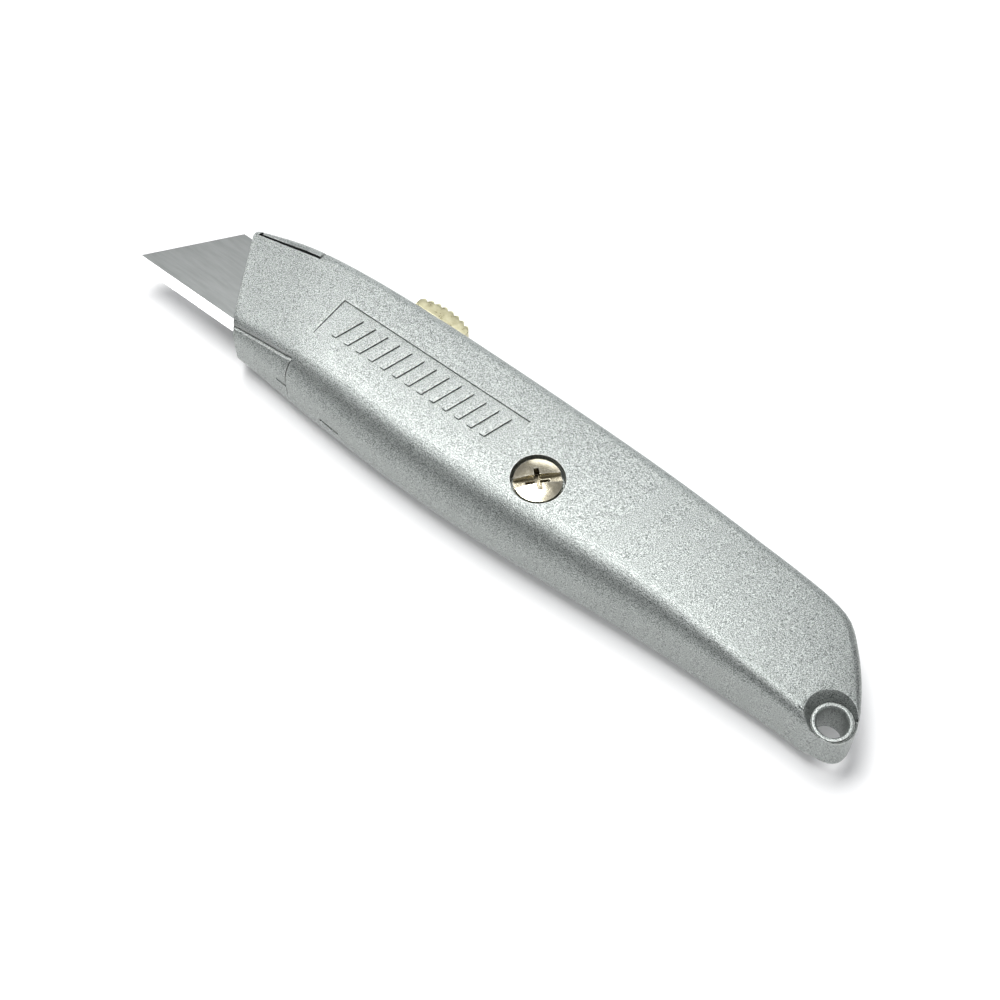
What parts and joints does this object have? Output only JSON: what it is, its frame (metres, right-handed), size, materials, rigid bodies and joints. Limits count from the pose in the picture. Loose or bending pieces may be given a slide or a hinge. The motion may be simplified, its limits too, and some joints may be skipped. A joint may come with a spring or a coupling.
{
  "type": "retractable utility knife",
  "caption": "Retractable utility knife with a two-part cast handle, clamp screw, sprung thumb button, sliding trapezoid blade and spare blades inside.",
  "frame": {"origin": "on the axis of the hang hole at the tail, in the parting plane between the two handle halves", "axes": "+X from the blade and nose towards the tail, +Y from the cutting edge side up to the thumb button, +Z out of the left face; the knife lies on its right face"},
  "size_m": [0.1724, 0.034, 0.0189],
  "materials": {
    "cast_paint": "silver grey sand-textured paint over a zinc casting",
    "yellow_plated_steel": "yellow zinc plate",
    "brassy_button": "pale brass plate",
    "pressed_steel": "zinc plated pressed steel",
    "spring_steel": "blued spring steel",
    "blade_steel": "ground tool steel with a bright bevel"
  },
  "bodies": {
    "handle": {"right_casing": "cast_paint", "spare_blade_1": "blade_steel", "spare_blade_2": "blade_steel", "spare_blade_3": "blade_steel", "spare_blade_4": "blade_steel", "spare_blade_5": "blade_steel"},
    "cover": {"left_casing": "cast_paint"},
    "screw": {"clamp_screw": "yellow_plated_steel"},
    "carriage": {"blade_carrier": "pressed_steel", "blade": "blade_steel", "button_spring": "spring_steel", "spring_rivet": "pressed_steel"},
    "button": {"thumb_button": "brassy_button"}
  },
  "joints": [
    {"name": "blade_slide", "type": "slide", "parent": "handle", "child": "carriage", "axis": [1, 0, 0], "range_m": [0, 0.031]},
    {"name": "button_press", "type": "slide", "parent": "carriage", "child": "button", "axis": [0, -1, 0], "range_m": [0, 0.0012], "stiffness_N_per_m": 2500, "springref_m": -0.0008, "deforming": ["button_spring"]},
    {"name": "cover_lift", "type": "slide", "parent": "handle", "child": "cover", "axis": [0, 0, 1], "range_m": [0, 0.04]},
    {"name": "screw_turn", "type": "hinge", "parent": "cover", "child": "screw", "pos_m": [-0.0685, 0.0043, 0.009], "axis": [0, 0, 1], "range_deg": [0, 3600]}
  ]
}
